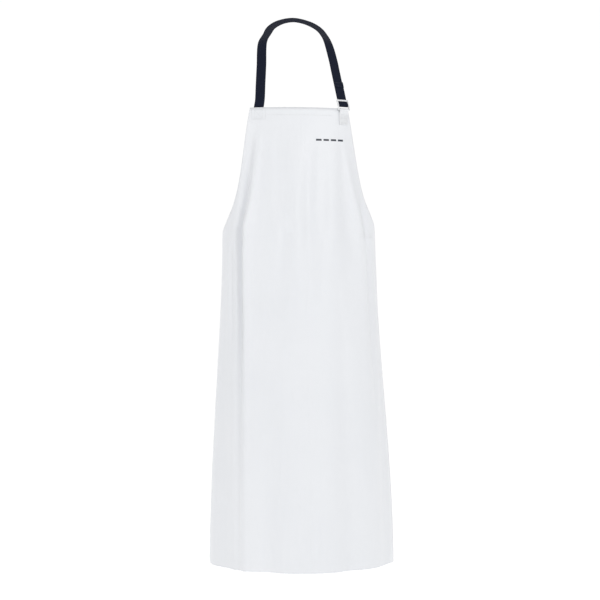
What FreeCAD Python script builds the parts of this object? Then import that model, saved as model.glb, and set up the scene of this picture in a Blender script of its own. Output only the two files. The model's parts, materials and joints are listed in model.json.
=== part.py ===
import FreeCAD, Part
import math
import os

# Butcher apron as it hangs on a wearer: millimetres, +Z up, front towards -Y, +X to the viewer's
# right. The origin is the inner face of the neck strap at the back of the neck.

V = FreeCAD.Vector

# ---- Apron panel, as cut flat ----
apron_length = 1143.0        # bib top edge to hem
skirt_width = 700.0
bib_width = 250.0
armhole_drop = 320.0         # bib top edge to waist corner
armhole_slope = 0.3          # how much of the side's run outwards is a straight slope, the rest a curve
waist_corner_start = 84.0    # degrees round the armhole curve where the waist corner begins
hem_corner_radius = 45.0
fabric_thickness = 0.8

# ---- How the panel hangs round the wearer: half width, half depth, middle x and front y ----
neck_drop = 245.0            # neck rest to bib top edge
section_top = (160.0, 65.0, 0.0, -165.0)
section_waist = (195.0, 140.0, 10.0, -190.0)
section_hem = (240.0, 200.0, 22.0, -205.0)

# ---- Sewn layers ----
seam_gap = 0.1               # air between two sewn layers
strip_thickness = 0.6
strip_width = 18.0
patch_thickness = 0.8
neck_patch_size = (38.0, 28.0)
waist_patch_size = (60.0, 56.0)
waist_patch_inset = (10.0, 14.0)  # in from the panel's side, down from the waist corner
edge_inset = 3.0             # from a cut edge to what is sewn beside it
sewing_tolerance = 0.01
thread_radius = 0.3
stitch_length = 2.6
stitch_pitch = 4.0

# ---- Webbing ----
webbing_width = 25.0
webbing_thickness = 1.4
layer_gap = 0.3              # air between webbing layers and the buckle bars
anchor_from_side = 22.0      # anchor webbing's middle to the bib's side edge
neck_anchor_length = 42.0
neck_anchor_rise = 4.0       # anchor webbing above the bib top edge
open_pivot_gap = 12.0        # free stretch left between neck anchor and neck strap
neck_tail_length = 50.0
waist_tail_length = 80.0
tail_fold_length = 15.0
station_step = 12.0          # along a strip, between the stations that shape it
waist_sewn_length = 48.0
anchor_box_inset = (5.0, 7.0)     # neck anchor's sewn box: narrower than the webbing, shorter than the patch
waist_box_inset = (10.0, 6.0)     # waist strap's sewn box, within its sewn length and its width
strip_seam_inset = 2.0
tail_seam_inset = 3.0             # tail stitches, from the tip and from the end of the fold
cross_shares = (0.06, 0.44)       # where each arm of a sewn cross starts and ends, as shares of its box
leg_shares = (0.0, 0.15, 0.3, 0.5, 0.7)   # stations up the neck strap's right leg
foot_shares = (0.4, 0.7, 1.0)             # stations down its left leg
clip_reach = 72.0            # the waist webbing leaves the wearer's round shape this far from the clip
run_in_lengths = (16.0, 8.0, 0.0)         # stations before the webbing is straight

# ---- Plastic buckles, made for the webbing ----
side_clearance = 0.8         # webbing edge to rail
rail_width = 2.6
rail_height = 27.0
bar_radius = 1.8
middle_bar = (9.5, 13.0)     # lower and upper edge, above the base bar
middle_bar_thickness = 2.2
lip_bar = (22.5, 26.5)
lip_bar_thickness = 2.2
rail_proud = 1.2             # rails behind the middle bar
edge_fillet = 0.6
half_turn_inset = 0.6        # the wrap's centre above the middle bar's lower edge

# ---- White tape that holds the neck buckle ----
tape_width = 24.0
tape_thickness = 1.0
tape_length = 38.0
tape_from_side = 1.0
tape_clearance = 0.25
bar_stand_off = 4.6          # bar centre in front of the panel
bar_below_edge = 3.0
tape_meet = 12.0             # the loop's two legs meet this far below it
tape_tack_places = (0.55, 0.87)   # bar tacks down the tape, as shares of its length
tape_tack_rows = 1.2
tape_tack_stitches = 5

# ---- Waist clip at the back: latch and socket ----
clip_to_right = 5.0          # its shoulder from the middle of the back
clip_thickness = 9.6
shoulder_length = 5.0
mouth_gap = 0.2
cavity_depth = 22.0
clip_wall = 1.7
socket_slot = 5.2
arm_length = 16.5
arm_thickness = 2.2
arm_barb = 3.0
prong_width = 5.0
prong_thickness = 3.6
prong_short = 2.0            # prong's tip clear of the cavity's floor
window_length = 8.0
window_lift = 2.0            # window above the cavity's floor
strap_fold = (12.0, 34.0)    # left webbing's fold behind the socket's bar: where it lies flat, and its end

# ---- Route of the neck strap: x, y, z, then the heading and rise of its outer edge in degrees ----
neck_side_right = (80.0, -84.0, -72.0, 25.0, -5.0)
neck_side_left = (-86.0, -84.0, -74.0, 155.0, -5.0)
shoulder = (72.0, -58.0, -47.0, 48.0, 12.0)
neck_corner = (59.0, -32.0, -26.0, 60.0, 25.0)
neck_back = (34.0, -8.0, -8.0, 75.0, 33.0)
neck_rise = 36.0

# ---- What follows from the sizes above ----
bib_half = bib_width / 2
skirt_half = skirt_width / 2
waist_strap_drop = armhole_drop + waist_patch_inset[1] + waist_patch_size[1] / 2
patch_arc = bib_half - edge_inset - neck_patch_size[0] / 2
anchor_arc = bib_half - anchor_from_side
tape_arc = bib_half - tape_width / 2 - tape_from_side
webbing_inset = fabric_thickness + strip_thickness + patch_thickness + 3 * seam_gap
buckle_inner = webbing_width + 2 * side_clearance
buckle_width = buckle_inner + 2 * rail_width
load_near = middle_bar_thickness / 2 + layer_gap     # load layer of webbing, near face
load_far = load_near + webbing_thickness
tail_far = load_near - layer_gap
tail_near = tail_far - webbing_thickness
lip_back = tail_near - layer_gap
lip_front = lip_back - lip_bar_thickness
rail_back = middle_bar_thickness / 2 + rail_proud


# ---------------------------------------------------------------- the hanging shape

def smooth(t):
    t = min(max(t, 0.0), 1.0)
    return t * t * (3.0 - 2.0 * t)


def section(drop):
    """Half width, half depth and centre of the ellipse that the panel follows at this drop."""
    if drop < armhole_drop:
        low, high, share = section_top, section_waist, smooth(drop / armhole_drop)
    else:
        share = smooth((drop - armhole_drop) / (apron_length - armhole_drop))
        low, high = section_waist, section_hem
    half_width, half_depth, middle_x, front = (a + (b - a) * share for a, b in zip(low, high))
    return half_width, half_depth, V(middle_x, front + half_depth, -neck_drop - drop)


def ellipse_angle(half_width, half_depth, arc):
    """Angle on the ellipse, from its front, at an arc length."""
    steps = 160
    angle = 0.0
    for _ in range(steps):
        speed = math.hypot(half_width * math.cos(angle), half_depth * math.sin(angle))
        middle = angle + arc / steps / speed / 2
        speed = math.hypot(half_width * math.cos(middle), half_depth * math.sin(middle))
        angle += arc / steps / speed
    return angle


def half_perimeter(half_width, half_depth):
    steps = 400
    speeds = (math.hypot(half_width * math.cos(math.pi * (i + 0.5) / steps),
                         half_depth * math.sin(math.pi * (i + 0.5) / steps)) for i in range(steps))
    return sum(speeds) * math.pi / steps


def panel_point(arc, drop, offset=0.0):
    """Point on the panel's outer face, by arc from the centre line and drop from the top edge."""
    half_width, half_depth, centre = section(drop)
    angle = ellipse_angle(half_width, half_depth, arc)
    normal = V(half_depth * math.sin(angle), -half_width * math.cos(angle), 0).normalize()
    return centre + V(half_width * math.sin(angle), -half_depth * math.cos(angle), 0) + normal * offset


def panel_frame(arc, drop, offset=0.0):
    """Placement on the panel: local x runs across, y inwards and z up the panel."""
    across = (panel_point(arc + 1, drop) - panel_point(arc - 1, drop)).normalize()
    up = (panel_point(arc, drop - 1) - panel_point(arc, drop + 1)).normalize()
    inward = up.cross(across).normalize()
    turn = FreeCAD.Rotation(across, inward, across.cross(inward), "XYZ")
    return FreeCAD.Placement(panel_point(arc, drop, offset), turn)


def outline_rows():
    """(drop, half width) down the flat panel: armhole curve, rounded corners, straight side."""
    rows = []
    for turn in spaced(0.0, waist_corner_start, 14):
        reach = math.radians(turn)
        curved = (1.0 - math.cos(reach)) ** 2
        outwards = armhole_slope * math.sin(reach) + (1.0 - armhole_slope) * curved
        rows.append((armhole_drop * math.sin(reach), bib_half + (skirt_half - bib_half) * outwards))
    start_drop, start_half = rows[-1]
    curve_speed = 2.0 * (1.0 - math.cos(reach)) * math.sin(reach)
    speed = armhole_slope * math.cos(reach) + (1.0 - armhole_slope) * curve_speed
    steep = math.atan2((skirt_half - bib_half) * speed, armhole_drop * math.cos(reach))
    radius = (skirt_half - start_half) / (1.0 - math.cos(steep))
    corner_end = start_drop + radius * math.sin(steep)
    for turn in spaced(0.75 * steep, 0.0, 4):
        rows.append((corner_end - radius * math.sin(turn), skirt_half - radius * (1.0 - math.cos(turn))))
    round_start = apron_length - hem_corner_radius
    rows += [(drop, skirt_half) for drop in spaced(corner_end, round_start, 15)[1:]]
    for turn in spaced(15.0, 90.0, 6):
        reach = math.radians(turn)
        rows.append((round_start + hem_corner_radius * math.sin(reach),
                     skirt_half - hem_corner_radius * (1.0 - math.cos(reach))))
    return rows


# ---------------------------------------------------------------- solids from grids and stations

def surface_through(rows):
    surface = Part.BSplineSurface()
    surface.interpolate(rows)
    return surface


def skin_solid(outer_rows, inner_rows):
    """Closed solid between two matching grids of points."""
    outer = surface_through(outer_rows)
    inner = surface_through(inner_rows)
    faces = [outer.toShape(), inner.toShape()]
    outer_ends = outer.bounds()
    inner_ends = inner.bounds()
    for near, far in zip(outer_ends[:2], inner_ends[:2]):
        faces.append(Part.makeRuledSurface(outer.uIso(near).toShape(), inner.uIso(far).toShape()))
    for near, far in zip(outer_ends[2:], inner_ends[2:]):
        faces.append(Part.makeRuledSurface(outer.vIso(near).toShape(), inner.vIso(far).toShape()))
    return closed_solid(faces)


def panel_layer(arcs, drops, offset, thickness):
    """A flat sewn layer that follows the panel, its outer face at this offset."""
    outer = [[panel_point(arc, drop, offset) for arc in arcs] for drop in drops]
    inner = [[panel_point(arc, drop, offset - thickness) for arc in arcs] for drop in drops]
    return skin_solid(outer, inner)


def spaced(start, end, count):
    return [start + (end - start) * i / (count - 1) for i in range(count)]


def even_stations(centres, acrosses):
    """The same route with evenly spaced stations, so that the strip's surfaces run smoothly."""
    curve = Part.BSplineCurve()
    curve.interpolate(centres)
    edge = Part.BSplineCurve()
    edge.interpolate(Points=[centre + across * webbing_width for centre, across in zip(centres, acrosses)],
                     Parameters=[curve.parameter(centre) for centre in centres])
    even_centres = curve.discretize(Number=int(curve.length() / station_step) + 2)
    even_edge = [edge.value(curve.parameter(centre)) for centre in even_centres]
    return even_centres, [(side - centre).normalize() for side, centre in zip(even_edge, even_centres)]


def strip_solid(centres, acrosses, start_along=None, end_along=None):
    """A webbing strip through stations: centre points and the unit vector across the webbing."""
    centres, acrosses = even_stations(centres, acrosses)
    last = len(centres) - 1
    alongs = [(centres[min(i + 1, last)] - centres[max(i - 1, 0)]).normalize() for i in range(last + 1)]
    alongs[0] = start_along or alongs[0]
    alongs[last] = end_along or alongs[last]
    near_rows = []
    far_rows = []
    for centre, across, along in zip(centres, acrosses, alongs):
        across = (across - along * across.dot(along)).normalize()
        half = across.cross(along).normalize() * (webbing_thickness / 2)
        shifts = [across * (webbing_width * share) for share in (-0.5, 0.0, 0.5)]
        near_rows.append([centre + shift - half for shift in shifts])
        far_rows.append([centre + shift + half for shift in shifts])
    return skin_solid(near_rows, far_rows)


def prism(points, width):
    """A profile in local y and z, drawn out along local x."""
    outline = [V(-width / 2, y, z) for y, z in points]
    face = Part.Face(Part.makePolygon(outline + outline[:1]))
    return face.extrude(V(width, 0, 0))


def slab(y_near, y_far, z_low, z_high, width):
    return prism([(y_near, z_low), (y_far, z_low), (y_far, z_high), (y_near, z_high)], width)


def half_ring(inner_radius, outer_radius, z_centre, width, upwards):
    """Half a tube round a bar along local x: its upper or its lower half."""
    start = V(-width / 2, 0, z_centre)
    tube = Part.makeCylinder(outer_radius, width, start, V(1, 0, 0))
    bore = Part.makeCylinder(inner_radius, width, start, V(1, 0, 0))
    z_low = z_centre if upwards else z_centre - outer_radius
    return tube.cut(bore).common(slab(-outer_radius, outer_radius, z_low, z_low + outer_radius, width))


def joined(pieces):
    return pieces[0].multiFuse(pieces[1:]).removeSplitter()


def closed_solid(faces):
    shell = Part.makeCompound(faces)
    shell.sewShape(sewing_tolerance)
    solid = Part.makeSolid(shell.Shells[0])
    if solid.Volume < 0:
        solid.reverse()
    return solid


def butted(ribbon, end_piece):
    """A ribbon and the folded piece that its end face meets, as one solid without that face."""
    pairs = [(own, other) for own in ribbon.Faces for other in end_piece.Faces]
    meeting = min(pairs, key=lambda pair: (pair[0].CenterOfMass - pair[1].CenterOfMass).Length)
    faces = [face for face in ribbon.Faces if not face.isSame(meeting[0])]
    faces += [face for face in end_piece.Faces if not face.isSame(meeting[1])]
    return closed_solid(faces)


def placed(shape, placement):
    moved = shape.copy()
    moved.Placement = placement.multiply(moved.Placement)
    return moved


def rounded_box(size_x, y_near, y_far, z_low, z_high, fillet):
    box = Part.makeBox(size_x, y_far - y_near, z_high - z_low, V(-size_x / 2, y_near, z_low))
    return box.makeFillet(fillet, box.Edges)


# ---------------------------------------------------------------- apron panel and sewn pieces

def apron_panel():
    columns = spaced(-1.0, 1.0, 25)
    layers = []
    for offset in (0.0, -fabric_thickness):
        layers.append([[panel_point(share * half, drop, offset) for share in columns]
                       for drop, half in outline_rows()])
    return skin_solid(*layers)


def top_edge_strip():
    reach = bib_half - edge_inset
    drops = spaced(edge_inset, edge_inset + strip_width, 3)
    return panel_layer(spaced(-reach, reach, 15), drops, -fabric_thickness - seam_gap, strip_thickness)


def neck_patch(side):
    width, height = neck_patch_size
    arcs = spaced(side * patch_arc - width / 2, side * patch_arc + width / 2, 5)
    offset = -fabric_thickness - strip_thickness - 2 * seam_gap
    return panel_layer(arcs, spaced(edge_inset, edge_inset + height, 4), offset, patch_thickness)


def waist_patch(side):
    width, height = waist_patch_size
    outer_arc = skirt_half - waist_patch_inset[0]
    arcs = spaced(side * (outer_arc - width), side * outer_arc, 7)
    drops = spaced(waist_strap_drop - height / 2, waist_strap_drop + height / 2, 5)
    return panel_layer(arcs, drops, -fabric_thickness - seam_gap, patch_thickness)


def neck_anchor_webbing():
    arcs = spaced(-anchor_arc - webbing_width / 2, -anchor_arc + webbing_width / 2, 4)
    drops = spaced(-neck_anchor_rise, neck_anchor_length - neck_anchor_rise, 5)
    return panel_layer(arcs, drops, -webbing_inset, webbing_thickness)


def stitch_run(start, end, offset):
    """Stitches in a line over the panel from one (arc, drop) to another."""
    length = math.hypot(end[0] - start[0], end[1] - start[1])
    count = max(int(length / stitch_pitch), 1)
    stitches = []
    for number in range(count):
        middle = (number + 0.5) / count
        reach = stitch_length / 2 / length
        ends = []
        for share in (middle - reach, middle + reach):
            arc, drop = (a + (b - a) * share for a, b in zip(start, end))
            ends.append(panel_point(arc, drop, offset + thread_radius + seam_gap))
        stitches.append(Part.makeCylinder(thread_radius, stitch_length, ends[0], ends[1] - ends[0]))
    return stitches


def stitch_box(arc_middle, drop_middle, width, height, crossed, offset=0.0):
    """A sewn box, with or without its cross. The cross leaves out its own middle."""
    left, right = arc_middle - width / 2, arc_middle + width / 2
    top, bottom = drop_middle - height / 2, drop_middle + height / 2
    corner = thread_radius * 2 + seam_gap
    stitches = stitch_run((left + corner, top), (right - corner, top), offset)
    stitches += stitch_run((left + corner, bottom), (right - corner, bottom), offset)
    stitches += stitch_run((left, top), (left, bottom), offset)
    stitches += stitch_run((right, top), (right, bottom), offset)
    if crossed:
        for side in (-1, 1):
            for end in (-1, 1):
                near, far = ((arc_middle + side * width * share, drop_middle + end * height * share)
                             for share in cross_shares)
                stitches += stitch_run(near, far, offset)
    return stitches


def neck_anchor_stitches():
    drop_middle = edge_inset + neck_patch_size[1] / 2
    width = webbing_width - anchor_box_inset[0]
    height = neck_patch_size[1] - anchor_box_inset[1]
    box = stitch_box(-anchor_arc, drop_middle, width, height, True)
    return Part.makeCompound(box)


def top_edge_stitches():
    drop = edge_inset + strip_width - strip_seam_inset
    reach = patch_arc - neck_patch_size[0] / 2 - edge_inset
    return Part.makeCompound(stitch_run((-reach, drop), (reach, drop), 0.0))


def waist_stitches(side):
    arc_middle = side * (skirt_half - waist_patch_inset[0] - waist_patch_size[0] / 2)
    width = waist_sewn_length - waist_box_inset[0]
    height = webbing_width - waist_box_inset[1]
    box = stitch_box(arc_middle, waist_strap_drop, width, height, True)
    return Part.makeCompound(box)


# ---------------------------------------------------------------- ladder buckle and its webbing

def ladder_frame():
    """Two rails with a middle bar and a lip bar. The webbing leaves it along local z."""
    pieces = []
    for side in (-1, 1):
        rail = rounded_box(rail_width, lip_front, rail_back, -bar_radius, rail_height, edge_fillet)
        rail.translate(V(side * (buckle_inner + rail_width) / 2, 0, 0))
        pieces.append(rail)
    reach = buckle_inner + rail_width
    half = middle_bar_thickness / 2
    pieces.append(rounded_box(reach, -half, half, middle_bar[0], middle_bar[1], edge_fillet))
    pieces.append(rounded_box(reach, lip_front, lip_back, lip_bar[0], lip_bar[1], edge_fillet))
    return pieces


def threaded_webbing():
    """Webbing round the middle bar: load layer, wrap, front, and back under the lip bar."""
    turn_z = middle_bar[0] + half_turn_inset
    front_near = -load_far
    rise = middle_bar[1] + layer_gap
    under_lip = lip_bar[0] - layer_gap
    end = rail_height + layer_gap
    slant = prism([(front_near, rise), (front_near + webbing_thickness, rise),
                   (tail_far, under_lip), (tail_near, under_lip)], webbing_width)
    return [slab(load_near, load_far, turn_z, end, webbing_width),
            half_ring(load_near, load_far, turn_z, webbing_width, False),
            slab(front_near, front_near + webbing_thickness, turn_z, rise, webbing_width),
            slant,
            slab(tail_near, tail_far, under_lip, end, webbing_width)]


def folded_tail(length):
    """Free end of the webbing in front of the load layer, its tip folded back and sewn."""
    start = rail_height + 2 * layer_gap
    end = start + length
    fold_far = tail_near - seam_gap
    return [slab(tail_near, tail_far, start, end, webbing_width),
            slab(fold_far - webbing_thickness, fold_far, end - tail_fold_length, end, webbing_width),
            slab(fold_far - webbing_thickness, tail_far, end, end + webbing_thickness, webbing_width)]


def tail_stitches(length):
    """Two rows of stitches across the folded tip."""
    end = rail_height + 2 * layer_gap + length
    face = tail_near - seam_gap - webbing_thickness - seam_gap - thread_radius
    stitches = []
    for row in (tail_fold_length - tail_seam_inset, tail_seam_inset):
        count = int((webbing_width - tail_seam_inset) / stitch_pitch)
        for number in range(count):
            x = (number - (count - 1) / 2) * stitch_pitch - stitch_length / 2
            stitches.append(Part.makeCylinder(thread_radius, stitch_length,
                                              V(x, face, end - row), V(1, 0, 0)))
    return Part.makeCompound(stitches)


# ---------------------------------------------------------------- neck loop

def tape_placement():
    """Where the tape is sewn on: origin beside the base bar, z up from the tape's foot on the panel."""
    top = panel_point(tape_arc, bar_below_edge)
    up = (top - panel_point(tape_arc, bar_below_edge + tape_length)).normalize()
    across = panel_frame(tape_arc, bar_below_edge).Rotation.multVec(V(1, 0, 0))
    across = (across - up * across.dot(up)).normalize()
    return FreeCAD.Placement(top, FreeCAD.Rotation(across, up.cross(across), up, "XYZ"))


def buckle_placement():
    """Neck buckle: origin on its base bar, x along the bar, z up the right leg of the strap."""
    seat = tape_placement()
    bar = seat.multVec(V(0, -bar_stand_off, 0))
    across = seat.Rotation.multVec(V(1, 0, 0))
    towards = V(*neck_side_right[:3]) - bar
    up = (towards - across * towards.dot(across)).normalize()
    turn = FreeCAD.Rotation(across, up.cross(across), up, "XYZ")
    return FreeCAD.Placement(bar, turn)


def neck_buckle():
    width = buckle_inner + rail_width
    base_bar = Part.makeCylinder(bar_radius, width, V(-width / 2, 0, 0), V(1, 0, 0))
    return placed(joined(ladder_frame() + [base_bar]), buckle_placement())


def outward(heading, rise):
    """Unit vector across the webbing, away from the neck."""
    level = math.cos(math.radians(rise))
    return V(level * math.cos(math.radians(heading)), level * math.sin(math.radians(heading)),
             math.sin(math.radians(rise)))


def neck_strap():
    buckle = buckle_placement()
    leg_x = buckle.Rotation.multVec(V(1, 0, 0))
    load_middle = (load_near + load_far) / 2
    leg_start = rail_height + layer_gap
    leg_length = (V(*neck_side_right[:3]) - buckle.Base).Length
    centres = []
    acrosses = []
    for share in leg_shares:
        height = leg_start + share * (leg_length - leg_start)
        centres.append(buckle.multVec(V(0, load_middle, height)))
        acrosses.append(leg_x)
    over_neck = [neck_side_right, shoulder, neck_corner, neck_back,
                 (0.0, webbing_thickness / 2, 0.0, 90.0, neck_rise)]
    for x, y, z, heading, rise in over_neck:
        centres.append(V(x, y, z))
        acrosses.append(outward(heading, rise))
    for x, y, z, heading, rise in (neck_back, neck_corner, shoulder):
        centres.append(V(-x, y, z))
        acrosses.append(outward(180.0 - heading, rise))
    x, y, z, heading, rise = neck_side_left
    centres.append(V(x, y, z))
    acrosses.append(outward(heading, rise))
    foot_offset = -webbing_inset - webbing_thickness / 2
    foot_frame = panel_frame(-anchor_arc, 0.0)
    foot = panel_point(-anchor_arc, -neck_anchor_rise - open_pivot_gap, foot_offset)
    for share in foot_shares:
        centres.append(V(x, y, z) + (foot - V(x, y, z)) * share)
        acrosses.append(foot_frame.Rotation.multVec(V(-1, 0, 0)))
    ribbon = strip_solid(centres, acrosses, start_along=buckle.Rotation.multVec(V(0, 0, 1)))
    return butted(ribbon, placed(joined(threaded_webbing()), buckle))


def neck_strap_tail():
    return placed(joined(folded_tail(neck_tail_length)), buckle_placement())


def neck_tail_stitches():
    return placed(tail_stitches(neck_tail_length), buckle_placement())


def buckle_tape():
    """White tape folded round the base bar, both ends sewn to the bib front."""
    inner = bar_radius + tape_clearance
    outer = inner + tape_thickness
    back_face = -seam_gap
    middle_face = back_face - tape_thickness
    front_face = middle_face - seam_gap - tape_thickness
    centre = -bar_stand_off
    meet = -tape_meet
    loop = half_ring(inner, outer, 0.0, tape_width, True)
    loop.translate(V(0, centre, 0))
    back_leg = prism([(centre + inner, 0), (centre + outer, 0), (back_face, meet),
                      (middle_face, meet)], tape_width)
    front_leg = prism([(centre - outer, 0), (centre - inner, 0),
                       (middle_face - seam_gap, meet), (front_face, meet)], tape_width)
    layers = [slab(front_face, middle_face - seam_gap, -tape_length, meet, tape_width),
              slab(middle_face, back_face, -tape_length, meet, tape_width)]
    return placed(joined([loop, back_leg, front_leg] + layers), tape_placement())


def buckle_tape_stitches():
    """Two bar tacks across the tape, one above the other."""
    face = -2 * (tape_thickness + seam_gap) - seam_gap - thread_radius
    stitches = []
    for share in tape_tack_places:
        for row in (-1, 0, 1):
            z = row * tape_tack_rows - tape_length * share
            for column in range(tape_tack_stitches):
                x = (column - (tape_tack_stitches - 1) / 2) * stitch_pitch - stitch_length / 2
                stitches.append(Part.makeCylinder(thread_radius, stitch_length, V(x, face, z), V(1, 0, 0)))
    return placed(Part.makeCompound(stitches), tape_placement())


# ---------------------------------------------------------------- waist strap and clip

def clip_placement():
    """Waist clip at the back: local x up, y towards the wearer and z along +X."""
    _, half_depth, centre = section(waist_strap_drop)
    turn = FreeCAD.Rotation(V(0, 0, 1), V(0, -1, 0), V(1, 0, 0), "XYZ")
    return FreeCAD.Placement(centre + V(clip_to_right, half_depth - webbing_inset, 0), turn)


def waist_ribbon(side, run_in):
    """Waist webbing from where it is sewn behind the panel to the clip, then the run-in points."""
    half_width, half_depth, _ = section(waist_strap_drop)
    arc_start = skirt_half - waist_patch_inset[0] - (waist_patch_size[0] + waist_sewn_length) / 2
    arc_end = half_perimeter(half_width, half_depth) - clip_reach
    offset = -fabric_thickness - patch_thickness - 2 * seam_gap - webbing_thickness / 2
    clip = clip_placement()
    centres = []
    acrosses = []
    for arc in spaced(arc_start, arc_end, 9):
        on_panel = panel_frame(side * arc, waist_strap_drop, offset)
        centres.append(on_panel.Base)
        acrosses.append(on_panel.Rotation.multVec(V(0, 0, 1)))
    for y, z in run_in:
        centres.append(clip.multVec(V(0, y, z)))
        acrosses.append(V(0, 0, 1))
    return strip_solid(centres, acrosses, end_along=V(-side, 0, 0))


def waist_strap_right():
    middle = (load_near + load_far) / 2
    end = rail_height + layer_gap
    ribbon = waist_ribbon(1, [(middle, end + length) for length in run_in_lengths])
    return butted(ribbon, placed(joined(threaded_webbing()), clip_placement()))


def socket_bar_z():
    return -shoulder_length - mouth_gap - cavity_depth - clip_wall - socket_slot - bar_radius


def waist_strap_left():
    """Webbing looped round the socket's end bar and sewn back on itself."""
    near = bar_radius + layer_gap
    far = near + webbing_thickness
    bar = socket_bar_z()
    fold_start = bar - strap_fold[0]
    fold_end = bar - strap_fold[1]
    fold_far = near - layer_gap
    fold_near = fold_far - webbing_thickness
    middle = (near + far) / 2
    ribbon = waist_ribbon(-1, [(middle, fold_end - length) for length in run_in_lengths])
    slant = prism([(-far, bar), (-near, bar), (fold_far, fold_start), (fold_near, fold_start)],
                  webbing_width)
    pieces = [slab(near, far, fold_end, bar, webbing_width),
              half_ring(near, far, bar, webbing_width, True),
              slant,
              slab(fold_near, fold_far, fold_end, fold_start, webbing_width)]
    return butted(ribbon, placed(joined(pieces), clip_placement()))


def waist_socket():
    mouth = -shoulder_length - mouth_gap
    floor = mouth - cavity_depth
    bar = socket_bar_z()
    half = clip_thickness / 2
    shell = rounded_box(buckle_width, -half, half, floor - clip_wall, mouth, edge_fillet)
    inside = buckle_width - 2 * clip_wall
    cavity = Part.makeBox(inside, clip_thickness - 2 * clip_wall, cavity_depth + 1.0,
                          V(-inside / 2, -half + clip_wall, floor))
    window = Part.makeBox(buckle_width + 2.0, clip_thickness - 2 * clip_wall, window_length,
                          V(-buckle_width / 2 - 1.0, -half + clip_wall, floor + window_lift))
    pieces = [shell.cut(cavity).cut(window)]
    for side in (-1, 1):
        rail = rounded_box(rail_width, -bar_radius, bar_radius, bar - bar_radius, floor, edge_fillet)
        rail.translate(V(side * (buckle_inner + rail_width) / 2, 0, 0))
        pieces.append(rail.cut(cavity))
    width = buckle_inner + rail_width
    pieces.append(Part.makeCylinder(bar_radius, width, V(-width / 2, 0, bar), V(1, 0, 0)))
    return placed(joined(pieces), clip_placement())


def waist_latch():
    half = clip_thickness / 2
    shoulder_block = rounded_box(buckle_width, -half, half, -shoulder_length, 0.0, edge_fillet)
    prong_length = cavity_depth - prong_short
    prong = Part.makeBox(prong_width, prong_thickness, prong_length,
                         V(-prong_width / 2, -prong_thickness / 2, -shoulder_length - prong_length))
    return placed(joined(ladder_frame() + [shoulder_block, prong]), clip_placement())


def waist_latch_arms():
    """Two spring arms from the latch's shoulder, their barbs out in the socket's windows."""
    root = -shoulder_length - seam_gap
    tip = root - arm_length
    barb_out = buckle_width / 2 - layer_gap
    arm_out = buckle_width / 2 - clip_wall - arm_barb
    arm_in = arm_out - arm_thickness
    window_top = -shoulder_length - mouth_gap - cavity_depth + window_lift + window_length
    barb_z = window_top - layer_gap
    arms = []
    for side in (-1, 1):
        outline = [(arm_in, root), (arm_out, root), (arm_out, barb_z), (barb_out, barb_z),
                   (arm_out, tip), (arm_in, tip)]
        points = [V(side * x, -prong_thickness / 2, z) for x, z in outline]
        face = Part.Face(Part.makePolygon(points + points[:1]))
        arms.append(face.extrude(V(0, prong_thickness, 0)))
    return placed(Part.makeCompound(arms), clip_placement())


def waist_strap_tail():
    return placed(joined(folded_tail(waist_tail_length)), clip_placement())


def waist_tail_stitches():
    return placed(tail_stitches(waist_tail_length), clip_placement())


NODES = {
    "apron_panel": apron_panel,
    "top_edge_strip": top_edge_strip,
    "top_edge_stitches": top_edge_stitches,
    "neck_patch_left": lambda: neck_patch(-1),
    "neck_patch_right": lambda: neck_patch(1),
    "neck_anchor_webbing": neck_anchor_webbing,
    "neck_anchor_stitches": neck_anchor_stitches,
    "buckle_tape": buckle_tape,
    "buckle_tape_stitches": buckle_tape_stitches,
    "waist_patch_left": lambda: waist_patch(-1),
    "waist_patch_right": lambda: waist_patch(1),
    "waist_stitches_left": lambda: waist_stitches(-1),
    "waist_stitches_right": lambda: waist_stitches(1),
    "waist_strap_left": waist_strap_left,
    "waist_strap_right": waist_strap_right,
    "waist_socket": waist_socket,
    "neck_strap": neck_strap,
    "neck_buckle": neck_buckle,
    "neck_strap_tail": neck_strap_tail,
    "neck_tail_stitches": neck_tail_stitches,
    "waist_latch": waist_latch,
    "waist_latch_arms": waist_latch_arms,
    "waist_strap_tail": waist_strap_tail,
    "waist_tail_stitches": waist_tail_stitches,
}

os.makedirs("parts", exist_ok=True)
for name, make in NODES.items():
    shape = make()
    shape.exportStep(f"parts/{name}.step")
    box = shape.BoundBox
    print(name, "valid", shape.isValid(), "solids", len(shape.Solids), "volume", round(shape.Volume, 1),
          "x", round(box.XMin, 1), round(box.XMax, 1), "y", round(box.YMin, 1), round(box.YMax, 1),
          "z", round(box.ZMin, 1), round(box.ZMax, 1))
joint = buckle_placement()
print("hinge", joint.Base, joint.Rotation.multVec(V(1, 0, 0)), "leg", joint.Rotation.multVec(V(0, 0, 1)))
print("clip", clip_placement().Base)
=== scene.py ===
import json
import math

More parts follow.
